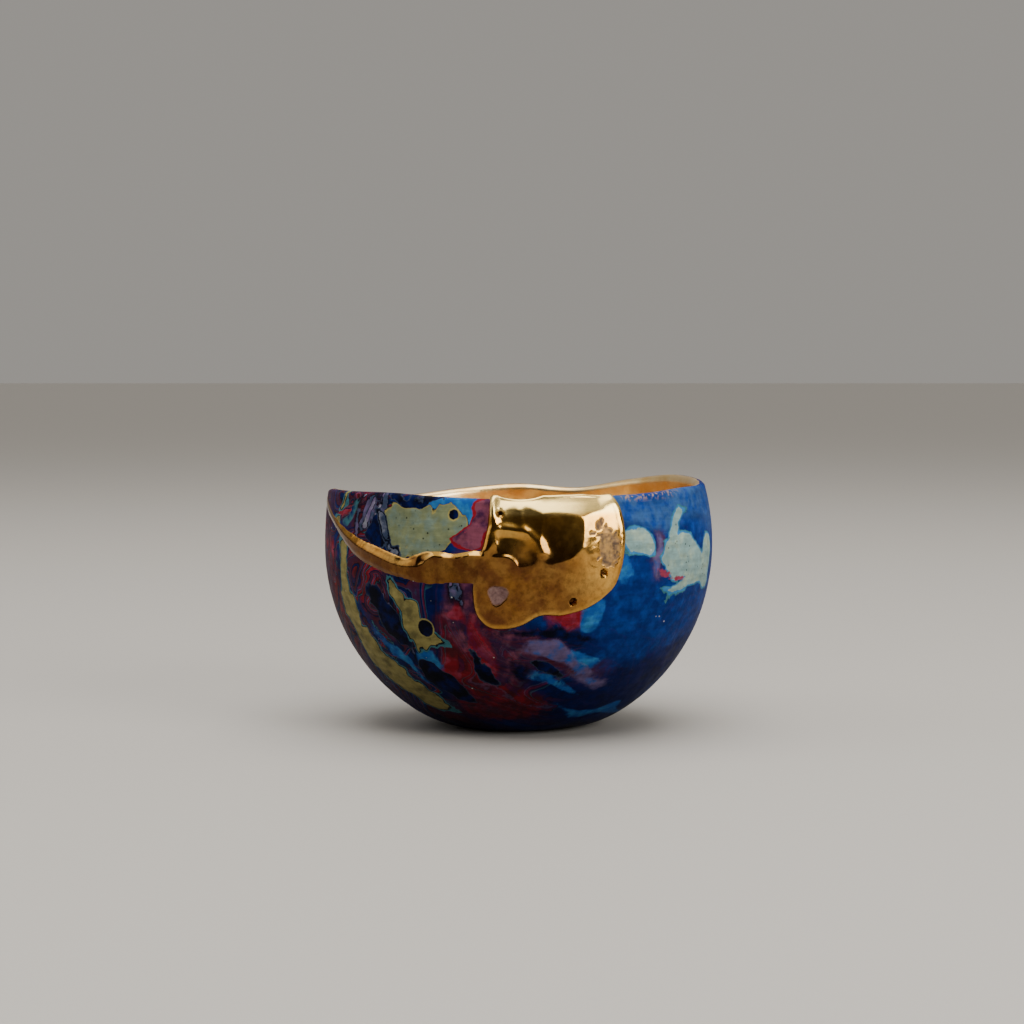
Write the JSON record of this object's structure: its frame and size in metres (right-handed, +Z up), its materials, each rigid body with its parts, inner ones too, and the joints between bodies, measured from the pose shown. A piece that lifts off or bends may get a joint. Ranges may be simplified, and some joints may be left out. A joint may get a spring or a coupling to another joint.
{
  "type": "kintsugi sake cup",
  "caption": "Round hand-formed sake cup with a marbled outside, broken at the lip and mended with a raised gold seam and a faceted gold fill.",
  "frame": {"origin": "centre of the foot's underside, on the table", "axes": "+Z up out of the mouth, -Y towards the gold fill at the front, +X to the right of it"},
  "size_m": [0.071, 0.0717, 0.0453],
  "materials": {
    "marbled_glaze": "satin marbled glaze in cobalt blue, navy, maroon and pale green-yellow, gilded inside with crinkled gold leaf",
    "gold_lacquer": "raised lacquer under burnished gold powder, mirror bright, with small pits and a scuffed patch"
  },
  "bodies": {
    "root": {"cup_body": "marbled_glaze", "rejoined_shard": "marbled_glaze", "gold_repair": "gold_lacquer"}
  },
  "joints": []
}
